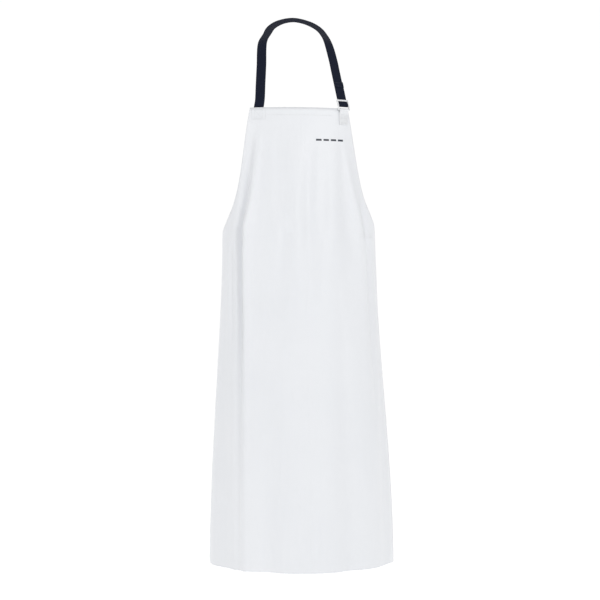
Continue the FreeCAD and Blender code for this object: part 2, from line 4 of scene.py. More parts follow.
import bpy
import numpy as np
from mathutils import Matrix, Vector


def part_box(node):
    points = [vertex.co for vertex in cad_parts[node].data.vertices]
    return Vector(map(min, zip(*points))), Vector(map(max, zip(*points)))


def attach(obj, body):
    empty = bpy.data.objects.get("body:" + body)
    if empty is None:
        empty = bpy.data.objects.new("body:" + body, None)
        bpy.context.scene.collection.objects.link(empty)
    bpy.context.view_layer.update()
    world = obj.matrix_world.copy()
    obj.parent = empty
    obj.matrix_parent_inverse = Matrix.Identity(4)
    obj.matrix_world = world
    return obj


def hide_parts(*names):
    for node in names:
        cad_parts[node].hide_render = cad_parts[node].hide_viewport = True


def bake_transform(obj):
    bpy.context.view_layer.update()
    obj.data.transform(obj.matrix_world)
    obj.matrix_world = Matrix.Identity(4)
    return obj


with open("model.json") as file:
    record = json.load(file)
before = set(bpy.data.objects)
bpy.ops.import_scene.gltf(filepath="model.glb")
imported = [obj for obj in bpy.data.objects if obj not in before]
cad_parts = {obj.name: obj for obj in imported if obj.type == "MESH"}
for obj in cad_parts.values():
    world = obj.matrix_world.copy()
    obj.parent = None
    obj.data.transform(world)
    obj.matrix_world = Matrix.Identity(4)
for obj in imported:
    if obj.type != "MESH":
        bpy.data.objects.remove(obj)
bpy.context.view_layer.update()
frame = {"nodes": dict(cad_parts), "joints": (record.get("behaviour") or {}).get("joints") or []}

# A coated butcher apron on a wearer's shape, in metres. The cloth is one grid, indexed by arc (across,
# from the centre line) and drop (down from the bib's top edge), and what is sewn on follows that grid.

# ---- Sizes, as in the CAD model ----
APRON_LENGTH = 1.143
SKIRT_HALF = 0.350
BIB_HALF = 0.125
ARMHOLE_DROP = 0.320
ARMHOLE_SLOPE = 0.3
WAIST_CORNER_START = 84.0
HEM_CORNER = 0.045
CLOTH = 0.0008
NECK_DROP = 0.245
SECTION_TOP = (0.160, 0.065, 0.0, -0.165)
SECTION_WAIST = (0.195, 0.140, 0.010, -0.190)
SECTION_HEM = (0.240, 0.200, 0.022, -0.205)
EDGE_INSET = 0.003
STRIP_WIDTH = 0.018
NECK_PATCH = (0.038, 0.028)
WAIST_PATCH = (0.060, 0.056)
WAIST_PATCH_INSET = (0.010, 0.014)
WAIST_SEWN = 0.048
WEBBING_WIDTH = 0.025
WEBBING = 0.0014
ANCHOR_FROM_SIDE = 0.022
ANCHOR_LENGTH = 0.042
ANCHOR_RISE = 0.004
TAPE_WIDTH = 0.024
TAPE = 0.001
TAPE_LENGTH = 0.038
TAPE_FROM_SIDE = 0.001
BAR_BELOW_EDGE = 0.003
BAR_RADIUS = 0.0018
LAYER_GAP = 0.0003
RAIL_HEIGHT = 0.027
MIDDLE_BAR = (0.0095, 0.013)
MIDDLE_BAR_THICK = 0.0022
LIP_BAR = (0.0225, 0.0265)
NECK_TAIL = 0.050
WAIST_TAIL = 0.080
TAIL_FOLD = 0.015
CLIP_BAR = -0.0359

# ---- Route of the neck strap: point, then the heading and rise of its outer edge in degrees ----
NECK_SIDE_RIGHT = (0.080, -0.084, -0.072, 25.0, -5.0)
NECK_SIDE_LEFT = (-0.086, -0.084, -0.074, 155.0, -5.0)
SHOULDER = (0.072, -0.058, -0.047, 48.0, 12.0)
NECK_CORNER = (0.059, -0.032, -0.026, 60.0, 25.0)
NECK_BACK = (0.034, -0.008, -0.008, 75.0, 33.0)
NECK_RISE = 36.0

# ---- A plain mark of four printed dashes: its middle as (arc, drop), each dash's shift, half its size ----
MARK_PLACE = (0.074, 0.080)
MARK_SHIFTS = (-0.0285, -0.0095, 0.0095, 0.0285)
MARK_DASH = (0.0072, 0.0026)
MARK_SOFT = 0.0004
MARK_COLOUR = (0.03, 0.035, 0.05)

# ---- Packing creases: (arc or (arc, drop), half the line's width) ----
CENTRE_CREASE = (0.004, 0.0035)
SIDE_CREASE = ((0.176, 0.70), 0.003)
LEVEL_CREASE = ((0.215, 0.742), 0.003)

# ---- Layers behind the cloth: how far back each starts, and how thick it is ----
LAYER_LIFT = 0.0001
PATCH_LIFT = 0.0008
STRIP_THICK = 0.0006
PATCH_THICK = 0.0008
NECK_WEBBING_DEPTH = 0.0018
WAIST_WEBBING_DEPTH = 0.0010

# ---- Webbing in its fittings: small gaps, and where the fold behind the socket's bar lies flat ----
WEBBING_PLAY = 0.0002
RAIL_GAP = 0.0003
TAIL_GAP = 0.0006
FOLD_GAP = 0.0002
SOCKET_FOLD = (0.012, 0.034)

# ---- Studio: the camera, the sky's strength in front and behind, and (name, place, size, watts) ----
CAMERA_AIM = (0.0, -0.167, -0.7205)
CAMERA_AZIMUTH = -6.0
CAMERA_DISTANCE = 3.752
LENS = 91.36
BACKGROUND_FRONT = 0.55
BACKGROUND_BEHIND = 1.02
FLOOR_REACH = 14.0
FLOOR_BELOW_HEM = 0.16
FLOOR_GLOW = 0.42
LIGHT_AIM = (0.0, -0.1, -0.7)
LIGHTS = [
    ("key_light", (1.7, -3.6, 0.9), 1.8, 30.0),
    ("fill_light", (-3.2, -1.8, 0.2), 2.4, 14.0),
    ("top_light", (0.3, -0.8, 2.2), 2.0, 6.0),
]

# ---- Webbing's section as shares of its width and thickness, and the stitches ----
RIBBON_PROFILE = [(-0.5, 0.0), (-0.494, 0.30), (-0.47, 0.46), (-0.42, 0.5), (-0.21, 0.48), (0.0, 0.48),
                  (0.21, 0.48), (0.42, 0.5), (0.47, 0.46), (0.494, 0.30), (0.5, 0.0)]
STITCH_PITCH = 0.0031
STITCH_LENGTH = 0.0025
THREAD_RADIUS = 0.00032

# ---- Settling: the body's inset, how firmly loose cloth is held, the frames and the farthest move ----
BODY_INSET = 0.022
LOOSE_HOLD = 0.06
SETTLE_FRAMES = 30
SETTLE_LIMIT = 0.014

# ---- Folds: each runs down the cloth through (drop, arc, depth) and has a half width ----
# A positive depth is a valley. Its ridge lies to the right of it where side is 1, and to the left where
# side is -1. RIDGE_AWAY and RIDGE_SPREAD are in half widths.
RIDGE_AWAY = 1.9
RIDGE_SPREAD = 1.25
FOLDS = [
    {"run": [(0.04, -0.116, 0.000), (0.12, -0.131, 0.006), (0.22, -0.150, 0.013), (0.29, -0.171, 0.018),
             (0.36, -0.172, 0.019), (0.52, -0.171, 0.014), (0.72, -0.178, 0.008), (1.00, -0.186, 0.003)],
     "width": 0.011, "ridge": 0.75, "side": 1},
    {"run": [(0.31, -0.205, 0.000), (0.37, -0.202, 0.005), (0.52, -0.201, 0.005), (0.64, -0.203, 0.000)],
     "width": 0.007, "ridge": 0.5, "side": -1},
    {"run": [(0.21, -0.070, 0.000), (0.26, -0.066, 0.004), (0.31, -0.045, 0.006), (0.40, -0.060, 0.003),
             (0.52, -0.066, 0.000)],
     "width": 0.017, "ridge": 0.4, "side": 1},
    {"run": [(0.05, 0.117, 0.000), (0.15, 0.137, 0.003), (0.26, 0.176, 0.007), (0.34, 0.196, 0.010),
             (0.50, 0.200, 0.006), (0.80, 0.205, 0.000)],
     "width": 0.014, "ridge": 0.6, "side": -1},
    {"run": [(0.30, 0.090, 0.000), (0.45, 0.094, 0.002), (0.80, 0.104, 0.005), (1.143, 0.112, 0.008)],
     "width": 0.034, "ridge": 0.5, "side": -1},
    {"run": [(0.42, -0.090, 0.000), (0.62, -0.096, 0.003), (0.90, -0.104, 0.006), (1.143, -0.110, 0.009)],
     "width": 0.032, "ridge": 0.5, "side": 1},
    {"run": [(0.50, 0.006, 0.000), (0.80, 0.004, -0.002), (1.143, 0.000, -0.004)],
     "width": 0.050, "ridge": 0.0, "side": 1},
    {"run": [(0.42, -0.242, 0.000), (0.60, -0.242, 0.004), (0.90, -0.240, 0.006), (1.143, -0.238, 0.006)],
     "width": 0.034, "ridge": 0.25, "side": 1},
    {"run": [(0.42, 0.248, 0.000), (0.60, 0.248, 0.003), (0.90, 0.246, 0.005), (1.143, 0.244, 0.005)],
     "width": 0.036, "ridge": 0.2, "side": -1},
]

# ---- What follows ----
ANCHOR_ARC = -(BIB_HALF - ANCHOR_FROM_SIDE)
TAPE_ARC = BIB_HALF - TAPE_WIDTH / 2 - TAPE_FROM_SIDE
PATCH_ARC = BIB_HALF - EDGE_INSET - NECK_PATCH[0] / 2
WAIST_DROP = ARMHOLE_DROP + WAIST_PATCH_INSET[1] + WAIST_PATCH[1] / 2
WAIST_ARC = SKIRT_HALF - WAIST_PATCH_INSET[0] - WAIST_PATCH[0] / 2
LOAD_NEAR = MIDDLE_BAR_THICK / 2 + LAYER_GAP
LOAD_MIDDLE = LOAD_NEAR + WEBBING / 2
TAIL_MIDDLE = LOAD_NEAR - LAYER_GAP - WEBBING / 2

JOINTS = {joint["name"]: joint for joint in frame["joints"]}


# ================================================================ materials

class Nodes:
    """A material's node tree, with short calls for the nodes used here."""

    def __init__(self, name):
        self.material = bpy.data.materials.new(name)
        self.material.use_nodes = True
        self.tree = self.material.node_tree
        self.shader = self.tree.nodes["Principled BSDF"]

    def new(self, kind, **values):
        node = self.tree.nodes.new(kind)
        for key, value in values.items():
            setattr(node, key, value)
        return node

    def link(self, source, target):
        self.tree.links.new(source, target)

    def feed(self, value, socket):
        if isinstance(value, (int, float, tuple)):
            socket.default_value = value
        else:
            self.link(value, socket)

    def math(self, operation, first, second=0.0, third=0.0):
        node = self.new("ShaderNodeMath", operation=operation)
        for value, socket in zip((first, second, third), node.inputs):
            self.feed(value, socket)
        return node.outputs[0]

    def noise(self, scale, detail=2.0, vector=None):
        node = self.new("ShaderNodeTexNoise")
        node.inputs["Scale"].default_value = scale
        node.inputs["Detail"].default_value = detail
        self.link(vector or self.object_place(), node.inputs["Vector"])
        return node.outputs["Fac"]

    def object_place(self):
        return self.new("ShaderNodeTexCoord").outputs["Object"]

    def uv(self):
        """(u, v) of the piece's map, both in metres."""
        split = self.new("ShaderNodeSeparateXYZ")
        self.link(self.new("ShaderNodeUVMap", uv_map="UVMap").outputs[0], split.inputs[0])
        return split.outputs["X"], split.outputs["Y"]

    def blend(self, factor, low, high):
        """Colour from low to high, each of them (r, g, b) or a colour socket."""
        node = self.new("ShaderNodeMix", data_type="RGBA")
        self.feed(factor, node.inputs["Factor"])
        sockets = [s for s in node.inputs if s.type == "RGBA"]
        for value, socket in zip((low, high), sockets):
            self.feed((*value, 1) if isinstance(value, tuple) else value, socket)
        return [s for s in node.outputs if s.type == "RGBA"][0]

    def between(self, value, low, high):
        """value, from 0 to 1, spread from low to high."""
        return self.math("MULTIPLY_ADD", value, high - low, low)

    def bump(self, height, distance, strength=1.0, before=None):
        node = self.new("ShaderNodeBump")
        node.inputs["Distance"].default_value = distance
        node.inputs["Strength"].default_value = strength
        self.link(height, node.inputs["Height"])
        if before is not None:
            self.link(before, node.inputs["Normal"])
        return node.outputs["Normal"]

    def finish(self, colour, roughness, normal, **sockets):
        self.link(colour, self.shader.inputs["Base Color"])
        self.feed(roughness, self.shader.inputs["Roughness"])
        self.link(normal, self.shader.inputs["Normal"])
        for name, value in sockets.items():
            self.shader.inputs[name.replace("_", " ")].default_value = value
        return self.material


def line_mask(m, value, place, half_width):
    """1 on a thin line where value is near place, falling smoothly to 0 each side."""
    offset = m.math("ABSOLUTE", m.math("SUBTRACT", value, place))
    near = m.math("SUBTRACT", 1.0, m.math("DIVIDE", offset, half_width))
    return m.math("MAXIMUM", near, 0.0)


def box_mask(m, u, v, centre, half_size, soft):
    """1 inside a rectangle of the piece's map, with a narrow soft border."""
    masks = []
    for value, middle, half in ((u, centre[0], half_size[0]), (v, centre[1], half_size[1])):
        offset = m.math("ABSOLUTE", m.math("SUBTRACT", value, middle))
        step = m.math("DIVIDE", m.math("SUBTRACT", half, offset), soft)
        masks.append(m.math("MINIMUM", m.math("MAXIMUM", step, 0.0), 1.0))
    return m.math("MULTIPLY", *masks)


def coated_cloth():
    """White coated face: fine leathery grain, soft sheen, packing creases and a plain dash mark."""
    m = Nodes("coated_cloth_face")
    u, v = m.uv()
    grain = m.noise(1400.0, 2.0)
    tone = m.noise(5.0, 3.0)
    colour = m.blend(tone, (0.795, 0.812, 0.842), (0.842, 0.856, 0.880))
    dash = 0.0
    for shift in MARK_SHIFTS:
        place = (MARK_PLACE[0] + shift, MARK_PLACE[1])
        dash = m.math("MAXIMUM", dash, box_mask(m, u, v, place, MARK_DASH, MARK_SOFT))
    printed = m.blend(dash, colour, MARK_COLOUR)
    creases = line_mask(m, u, *CENTRE_CREASE)
    place, half_width = SIDE_CREASE
    side = m.math("MULTIPLY", line_mask(m, u, place[0], half_width),
                  box_mask(m, u, v, place, (0.02, 0.12), 0.05))
    place, half_width = LEVEL_CREASE
    level = m.math("MULTIPLY", line_mask(m, v, place[1], half_width),
                   box_mask(m, u, v, place, (0.05, 0.02), 0.03))
    creases = m.math("MAXIMUM", m.math("MULTIPLY", creases, 0.35), m.math("MAXIMUM", side, level))
    pebbled = m.bump(grain, 0.00012, 0.35)
    slack = m.bump(m.noise(38.0, 3.0), 0.0012, 0.35, pebbled)
    creased = m.bump(creases, 0.0008, 0.7, slack)
    roughness = m.between(m.noise(60.0, 2.0), 0.36, 0.50)
    return m.finish(printed, roughness, creased, Coat_Weight=0.12, Coat_Roughness=0.38,
                    Specular_IOR_Level=0.42, Sheen_Weight=0.08)


def knit_backing():
    """Matt knitted backing on the inner side of the coated cloth and on its patches."""
    m = Nodes("knit_backing")
    u, v = m.uv()
    wale = m.math("SINE", m.math("MULTIPLY", u, 2 * math.pi / 0.0011))
    course = m.math("SINE", m.math("MULTIPLY", v, 2 * math.pi / 0.0014))
    loops = m.math("MULTIPLY_ADD", m.math("MULTIPLY", wale, course), 0.25, 0.5)
    # The colour is half random tone and half painted shade, darker where the knitted loops' relief is low.
    colour = m.blend(m.math("MULTIPLY_ADD", m.noise(40.0, 4.0), 0.5, m.math("MULTIPLY", loops, 0.5)),
                     (0.70, 0.71, 0.72), (0.83, 0.835, 0.84))
    fuzz = m.bump(m.noise(900.0, 3.0), 0.00015, 0.4)
    return m.finish(colour, 0.9, m.bump(loops, 0.00022, 0.6, fuzz), Sheen_Weight=0.25)


def woven(name, dark, light, rib, weft, roughness, relief, sheen, gloss):
    """Webbing or tape: ribs along the length, crossed by staggered weft."""
    m = Nodes(name)
    along, across = m.uv()
    place = m.math("DIVIDE", across, rib)
    row = m.math("FLOOR", place)
    ridge = m.math("SINE", m.math("MULTIPLY", m.math("FRACT", place), math.pi))
    turn = m.math("ADD", m.math("DIVIDE", along, weft), m.math("MULTIPLY", row, 0.5))
    pick = m.math("MULTIPLY_ADD", m.math("SINE", m.math("MULTIPLY", turn, 2 * math.pi)), 0.5, 0.5)
    height = m.math("MULTIPLY", ridge, m.math("MULTIPLY_ADD", pick, 0.55, 0.45))
    fibre = m.noise(2600.0, 2.0)
    # Painted shade: three quarters of the colour follows the rib and weft height, darker in the grooves and
    # lighter on the crowns; the last quarter is random tone.
    groove_shade_and_tone = m.math("MULTIPLY_ADD", height, 0.75, m.math("MULTIPLY", m.noise(220.0, 2.0), 0.25))
    colour = m.blend(groove_shade_and_tone, dark, light)
    hairy = m.bump(fibre, 0.00005, 0.4)
    return m.finish(colour, roughness, m.bump(height, relief, 0.9, hairy), Sheen_Weight=sheen,
                    Sheen_Roughness=0.45, Specular_IOR_Level=gloss)


def moulded_plastic():
    """White satin plastic with a faint moulded grain."""
    m = Nodes("moulded_plastic")
    colour = m.blend(m.noise(90.0, 2.0), (0.80, 0.81, 0.825), (0.86, 0.868, 0.88))
    grain = m.bump(m.noise(3200.0, 1.0), 0.00003, 0.5)
    soft = m.bump(m.noise(120.0, 2.0), 0.0002, 0.25, grain)
    return m.finish(colour, m.between(m.noise(400.0, 2.0), 0.28, 0.42), soft,
                    Coat_Weight=0.1, Coat_Roughness=0.25)


def sewing_thread(name, dark, light):
    """Twisted thread."""
    m = Nodes(name)
    along, around = m.uv()
    twist = m.math("SINE", m.math("ADD", m.math("MULTIPLY", along, 2 * math.pi / 0.0009),
                                  m.math("MULTIPLY", around, 2 * math.pi)))
    ply = m.math("MULTIPLY_ADD", twist, 0.5, 0.5)
    # Painted shade: the colour follows the twist, darker in the grooves between the plies and lighter on
    # their crowns.
    colour = m.blend(ply, dark, light)
    return m.finish(colour, 0.62, m.bump(ply, 0.0001, 0.8), Sheen_Weight=0.2)


COATED = coated_cloth()
BACKING = knit_backing()
NAVY = woven("navy_webbing_weave", (0.0025, 0.0042, 0.0125), (0.0095, 0.0145, 0.036),
             0.00165, 0.0024, 0.72, 0.00035, 0.03, 0.15)
WHITE_TAPE = woven("white_tape_weave", (0.70, 0.715, 0.74), (0.88, 0.89, 0.905),
                   0.0011, 0.0016, 0.7, 0.0002, 0.2, 0.4)
PLASTIC = moulded_plastic()
THREAD = sewing_thread("white_thread", (0.62, 0.63, 0.65), (0.84, 0.85, 0.86))
NAVY_THREAD = sewing_thread("navy_thread", (0.010, 0.014, 0.028), (0.030, 0.038, 0.066))


# ================================================================ the hanging shape

def smooth(t):
    t = np.clip(t, 0.0, 1.0)
    return t * t * (3.0 - 2.0 * t)


def section(drop):
    """Half width, half depth and centre of the ellipse that the panel follows at this drop."""
    if drop < ARMHOLE_DROP:
        low, high, share = SECTION_TOP, SECTION_WAIST, smooth(drop / ARMHOLE_DROP)
    else:
        low, high = SECTION_WAIST, SECTION_HEM
        share = smooth((drop - ARMHOLE_DROP) / (APRON_LENGTH - ARMHOLE_DROP))
    half_width, half_depth, middle_x, front = (a + (b - a) * share for a, b in zip(low, high))
    return half_width, half_depth, np.array((middle_x, front + half_depth, -NECK_DROP - drop))


def ellipse_arcs(half_width, half_depth):
    """Angles from the front of the ellipse to its back, and the arc length at each."""
    angles = np.linspace(0.0, math.pi, 721)
    middles = (angles[1:] + angles[:-1]) / 2
    steps = np.hypot(half_width * np.cos(middles), half_depth * np.sin(middles)) * (angles[1] - angles[0])
    return angles, np.concatenate([[0.0], np.cumsum(steps)])


def hanging_points(arcs, drop, offset=0.0):
    """Points on the hanging shape at these arcs, offset outwards."""
    half_width, half_depth, centre = section(drop)
    angles, lengths = ellipse_arcs(half_width, half_depth)
    angle = np.interp(np.abs(arcs), lengths, angles) * np.sign(arcs)
    level = np.zeros_like(angle)
    normal = np.stack([half_depth * np.sin(angle), -half_width * np.cos(angle), level], 1)
    normal /= np.linalg.norm(normal, axis=1, keepdims=True)
    points = centre + np.stack([half_width * np.sin(angle), -half_depth * np.cos(angle), level], 1)
    return points + normal * offset


def spaced(start, end, count):
    return list(np.linspace(start, end, count))


def outline_rows():
    """(drop, half width) down the flat panel, as in the CAD model but with closer rows."""
    rows = []
    for turn in spaced(0.0, WAIST_CORNER_START, 30):
        reach = math.radians(turn)
        curved = (1.0 - math.cos(reach)) ** 2
        outwards = ARMHOLE_SLOPE * math.sin(reach) + (1.0 - ARMHOLE_SLOPE) * curved
        rows.append((ARMHOLE_DROP * math.sin(reach), BIB_HALF + (SKIRT_HALF - BIB_HALF) * outwards))
    start_drop, start_half = rows[-1]
    curve_speed = 2.0 * (1.0 - math.cos(reach)) * math.sin(reach)
    speed = ARMHOLE_SLOPE * math.cos(reach) + (1.0 - ARMHOLE_SLOPE) * curve_speed
    steep = math.atan2((SKIRT_HALF - BIB_HALF) * speed, ARMHOLE_DROP * math.cos(reach))
    radius = (SKIRT_HALF - start_half) / (1.0 - math.cos(steep))
    corner_end = start_drop + radius * math.sin(steep)
    for turn in spaced(0.75 * steep, 0.0, 4):
        rows.append((corner_end - radius * math.sin(turn), SKIRT_HALF - radius * (1.0 - math.cos(turn))))
    round_start = APRON_LENGTH - HEM_CORNER
    rows += [(drop, SKIRT_HALF) for drop in spaced(corner_end, round_start, 62)[1:]]
    for turn in spaced(15.0, 90.0, 6):
        reach = math.radians(turn)
        rows.append((round_start + HEM_CORNER * math.sin(reach),
                     SKIRT_HALF - HEM_CORNER * (1.0 - math.cos(reach))))
    return rows


def fold_height(arcs, drop):
    """Outward height of all folds at these arcs."""
    height = np.zeros_like(arcs)
    for fold in FOLDS:
        drops, middles, depths = zip(*fold["run"])
        depth = np.interp(drop, drops, depths, left=0.0, right=depths[-1])
        middle = np.interp(drop, drops, middles)
        away = (arcs - middle) / fold["width"]
        ridge = (away - fold["side"] * RIDGE_AWAY) / RIDGE_SPREAD
        height += depth * (fold["ridge"] * np.exp(-ridge ** 2) - np.exp(-away ** 2))
    return height


class Cloth:
    """The hanging cloth's outer face as a grid of points, found by arc and drop."""

    def __init__(self, points, drops, halves):
        self.points = points
        self.drops = np.array(drops)
        self.halves = np.array(halves)
        self.columns = points.shape[1]
        down = np.gradient(points, axis=0)
        across = np.gradient(points, axis=1)
        normals = np.cross(across, down)
        self.normals = -normals / np.linalg.norm(normals, axis=2, keepdims=True)
        if self.normals[0, self.columns // 2, 1] > 0:
            self.normals = -self.normals

    def at(self, arc, drop, offset=0.0):
        """Point and outward normal. Above the top edge the cloth is carried on straight."""
        row = float(np.interp(drop, self.drops, np.arange(len(self.drops))))
        half = float(np.interp(drop, self.drops, self.halves))
        column = (np.clip(arc / half, -1.0, 1.0) + 1.0) / 2 * (self.columns - 1)
        i = min(int(row), len(self.drops) - 2)
        j = min(int(column), self.columns - 2)
        s, t = row - i, column - j
        point, normal = (
            (grid[i, j] * (1 - s) * (1 - t) + grid[i + 1, j] * s * (1 - t)
             + grid[i, j + 1] * (1 - s) * t + grid[i + 1, j + 1] * s * t)
            for grid in (self.points, self.normals))
        normal = normal / np.linalg.norm(normal)
        if drop < 0:
            up = self.points[0, j] - self.points[2, j]
            point = point + up / np.linalg.norm(up) * -drop
        return point + normal * offset, normal


def refined(grid):
    """The grid with a point between each pair of rows and of columns, on a smooth curve."""
    for axis in (0, 1):
        g = np.moveaxis(grid, axis, 0)
        padded = np.concatenate([2 * g[:1] - g[1:2], g, 2 * g[-1:] - g[-2:-1]])
        middles = (9 * (padded[1:-2] + padded[2:-1]) - padded[:-3] - padded[3:]) / 16
        out = np.empty((2 * len(g) - 1, *g.shape[1:]))
        out[0::2] = g
        out[1::2] = middles
        grid = np.moveaxis(out, 0, axis)
    return grid


def hung_grid():
    """The cloth as it hangs, before it settles: the hanging shape with its folds."""
    shares = np.linspace(-1.0, 1.0, 73)
    rows = outline_rows()
    grid = []
    for drop, half in rows:
        arcs = shares * half
        grid.append(hanging_points(arcs, drop, fold_height(arcs, drop)[:, None]))
    return np.array(grid), rows


# ================================================================ meshes

def add_piece(name, points, faces, uvs, materials, body, replaced=(), face_materials=None):
    """A mesh piece in the row frame. uvs holds one (u, v) for each corner of each face."""
    mesh = bpy.data.meshes.new(name)
    mesh.from_pydata([tuple(p) for p in points], [], faces)
    layer = mesh.uv_layers.new(name="UVMap")
    layer.data.foreach_set("uv", np.array(uvs, dtype=np.float32).ravel())
    for material in materials:
        mesh.materials.append(material)
    if face_materials is not None:
        mesh.polygons.foreach_set("material_index", np.array(face_materials, dtype=np.int32))
    mesh.polygons.foreach_set("use_smooth", np.ones(len(mesh.polygons), dtype=bool))
    mesh.validate()
    piece = bpy.data.objects.new(name, mesh)
    bpy.context.scene.collection.objects.link(piece)
    if body is not None:
        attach(piece, body)
    if replaced:
        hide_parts(*replaced)
    return piece


def sheet_mesh(outer, inner, uv):
    """Faces of a thin layer between two grids, with its rim. uv is a grid of (u, v)."""
    rows, columns = outer.shape[:2]
    count = rows * columns
    points = np.concatenate([outer.reshape(-1, 3), inner.reshape(-1, 3)])
    flat_uv = uv.reshape(-1, 2)
    faces, uvs, sides = [], [], []

    def add(face, side):
        faces.append(face)
        uvs.extend(flat_uv[i % count] for i in face)
        sides.append(side)

    for i in range(rows - 1):
        for j in range(columns - 1):
            a, b = i * columns + j, (i + 1) * columns + j
            add((a, b, b + 1, a + 1), 0)
            add((count + a, count + a + 1, count + b + 1, count + b), 1)
    loop = list(range(columns))
    loop += [i * columns + columns - 1 for i in range(1, rows)]
    loop += [(rows - 1) * columns + j for j in range(columns - 2, -1, -1)]
    loop += [i * columns for i in range(rows - 2, 0, -1)]
    for a, b in zip(loop, loop[1:] + loop[:1]):
        add((a, b, count + b, count + a), 1)
    return points, faces, uvs, sides


def cloth_layer(cloth, name, arcs, drops, offset, thickness, material, replaced):
    """A sewn layer that follows the cloth, its outer face at this offset from the cloth's."""
    grids = []
    for shift in (offset, offset - thickness):
        grids.append(np.array([[cloth.at(arc, drop, shift)[0] for arc in arcs] for drop in drops]))
    uv = np.array([[(arc, drop) for arc in arcs] for drop in drops])
    points, faces, uvs, _ = sheet_mesh(*grids, uv)
    return add_piece(name, points, faces, uvs, [material], "apron", replaced)


def ribbon_mesh(centres, acrosses, width, thickness):
    """Webbing along stations: a flat section with rolled edges, closed at both ends."""
    centres = np.array(centres, float)
    acrosses = np.array(acrosses, float)
    alongs = np.gradient(centres, axis=0)
    alongs /= np.linalg.norm(alongs, axis=1, keepdims=True)
    acrosses -= alongs * np.sum(acrosses * alongs, axis=1, keepdims=True)
    acrosses /= np.linalg.norm(acrosses, axis=1, keepdims=True)
    normals = np.cross(acrosses, alongs)
    profile = RIBBON_PROFILE + [(x, -y) for x, y in RIBBON_PROFILE[-2:0:-1]]
    travelled = np.concatenate([[0.0], np.cumsum(np.linalg.norm(np.diff(centres, axis=0), axis=1))])
    sides = len(profile)
    points = [centre + across * (x * width) + normal * (y * thickness)
              for centre, across, normal in zip(centres, acrosses, normals) for x, y in profile]
    faces, uvs = [], []
    for i in range(len(centres) - 1):
        for j in range(sides):
            k = (j + 1) % sides
            faces.append((i * sides + j, i * sides + k, (i + 1) * sides + k, (i + 1) * sides + j))
            uvs += [(travelled[i], profile[j][0] * width), (travelled[i], profile[k][0] * width),
                    (travelled[i + 1], profile[k][0] * width), (travelled[i + 1], profile[j][0] * width)]
    for i, order in ((0, range(sides - 1, -1, -1)), (len(centres) - 1, range(sides))):
        faces.append(tuple(i * sides + j for j in order))
        uvs += [(travelled[i], profile[j][0] * width) for j in order]
    return points, faces, uvs


def add_ribbon(name, centres, acrosses, width, thickness, material, body, replaced=()):
    points, faces, uvs = ribbon_mesh(centres, acrosses, width, thickness)
    return add_piece(name, points, faces, uvs, [material], body, replaced)


def smooth_route(centres, acrosses, step):
    """Stations a step apart on a smooth curve through the given ones (centripetal Catmull-Rom)."""
    centres = np.array(centres, float)
    acrosses = np.array(acrosses, float)
    both = np.concatenate([centres, acrosses * WEBBING_WIDTH], axis=1)
    padded = np.concatenate([2 * both[:1] - both[1:2], both, 2 * both[-1:] - both[-2:-1]])
    out = [both[0]]
    for a, b, c, d in zip(padded, padded[1:], padded[2:], padded[3:]):
        knots = [0.0]
        for p, q in ((a, b), (b, c), (c, d)):
            knots.append(knots[-1] + max(np.linalg.norm(q[:3] - p[:3]), 1e-6) ** 0.5)
        k0, k1, k2, k3 = knots
        count = max(int(np.linalg.norm(c[:3] - b[:3]) / step), 1)
        for t in np.linspace(k1, k2, count + 1)[1:]:
            ab = a + (b - a) * (t - k0) / (k1 - k0)
            bc = b + (c - b) * (t - k1) / (k2 - k1)
            cd = c + (d - c) * (t - k2) / (k3 - k2)
            abc = ab + (bc - ab) * (t - k0) / (k2 - k0)
            bcd = bc + (cd - bc) * (t - k1) / (k3 - k1)
            out.append(abc + (bcd - abc) * (t - k1) / (k2 - k1))
    out = np.array(out)
    return out[:, :3], out[:, 3:] / np.linalg.norm(out[:, 3:], axis=1, keepdims=True)


def thread_stitches(runs):
    """Mesh data of stitches: each run is a list of (point, normal) and gets raised thread dashes."""
    points, faces, uvs = [], [], []
    rings = [(0.0, 0.25), (0.12, 0.75), (0.35, 1.0), (0.65, 1.0), (0.88, 0.75), (1.0, 0.25)]
    sides = 8
    for path in runs:
        places = np.array([p for p, _ in path])
        normals = np.array([n for _, n in path])
        travelled = np.concatenate([[0.0], np.cumsum(np.linalg.norm(np.diff(places, axis=0), axis=1))])
        count = max(int(travelled[-1] / STITCH_PITCH), 1)
        pitch = travelled[-1] / count
        for number in range(count):
            start = number * pitch + (pitch - STITCH_LENGTH) / 2
            base = len(points)
            for share, size in rings:
                along = start + share * STITCH_LENGTH
                at = np.array([np.interp(along, travelled, places[:, k]) for k in range(3)])
                ahead = np.array([np.interp(along + 0.0004, travelled, places[:, k]) for k in range(3)])
                behind = np.array([np.interp(along - 0.0004, travelled, places[:, k]) for k in range(3)])
                tangent = (ahead - behind) / np.linalg.norm(ahead - behind)
                normal = np.array([np.interp(along, travelled, normals[:, k]) for k in range(3)])
                normal /= np.linalg.norm(normal)
                side = np.cross(normal, tangent)
                middle = at + normal * THREAD_RADIUS * (1.4 * size - 0.55)
                for k in range(sides):
                    angle = 2 * math.pi * k / sides
                    points.append(middle + (side * math.cos(angle) + normal * math.sin(angle))
                                  * THREAD_RADIUS * size)
            for i in range(len(rings) - 1):
                for k in range(sides):
                    a, b = base + i * sides + k, base + i * sides + (k + 1) % sides
                    faces.append((a, b, b + sides, a + sides))
                    u0, u1 = rings[i][0] * STITCH_LENGTH, rings[i + 1][0] * STITCH_LENGTH
                    uvs += [(u0, k / sides), (u0, (k + 1) / sides), (u1, (k + 1) / sides), (u1, k / sides)]
            for i, order in ((0, range(sides - 1, -1, -1)), (len(rings) - 1, range(sides))):
                faces.append(tuple(base + i * sides + k for k in order))
                uvs += [(0.0, k / sides) for k in order]
    return points, faces, uvs


def add_stitches(name, runs, body, replaced, material=None):
    points, faces, uvs = thread_stitches(runs)
    return add_piece(name, points, faces, uvs, [material or THREAD], body, replaced)


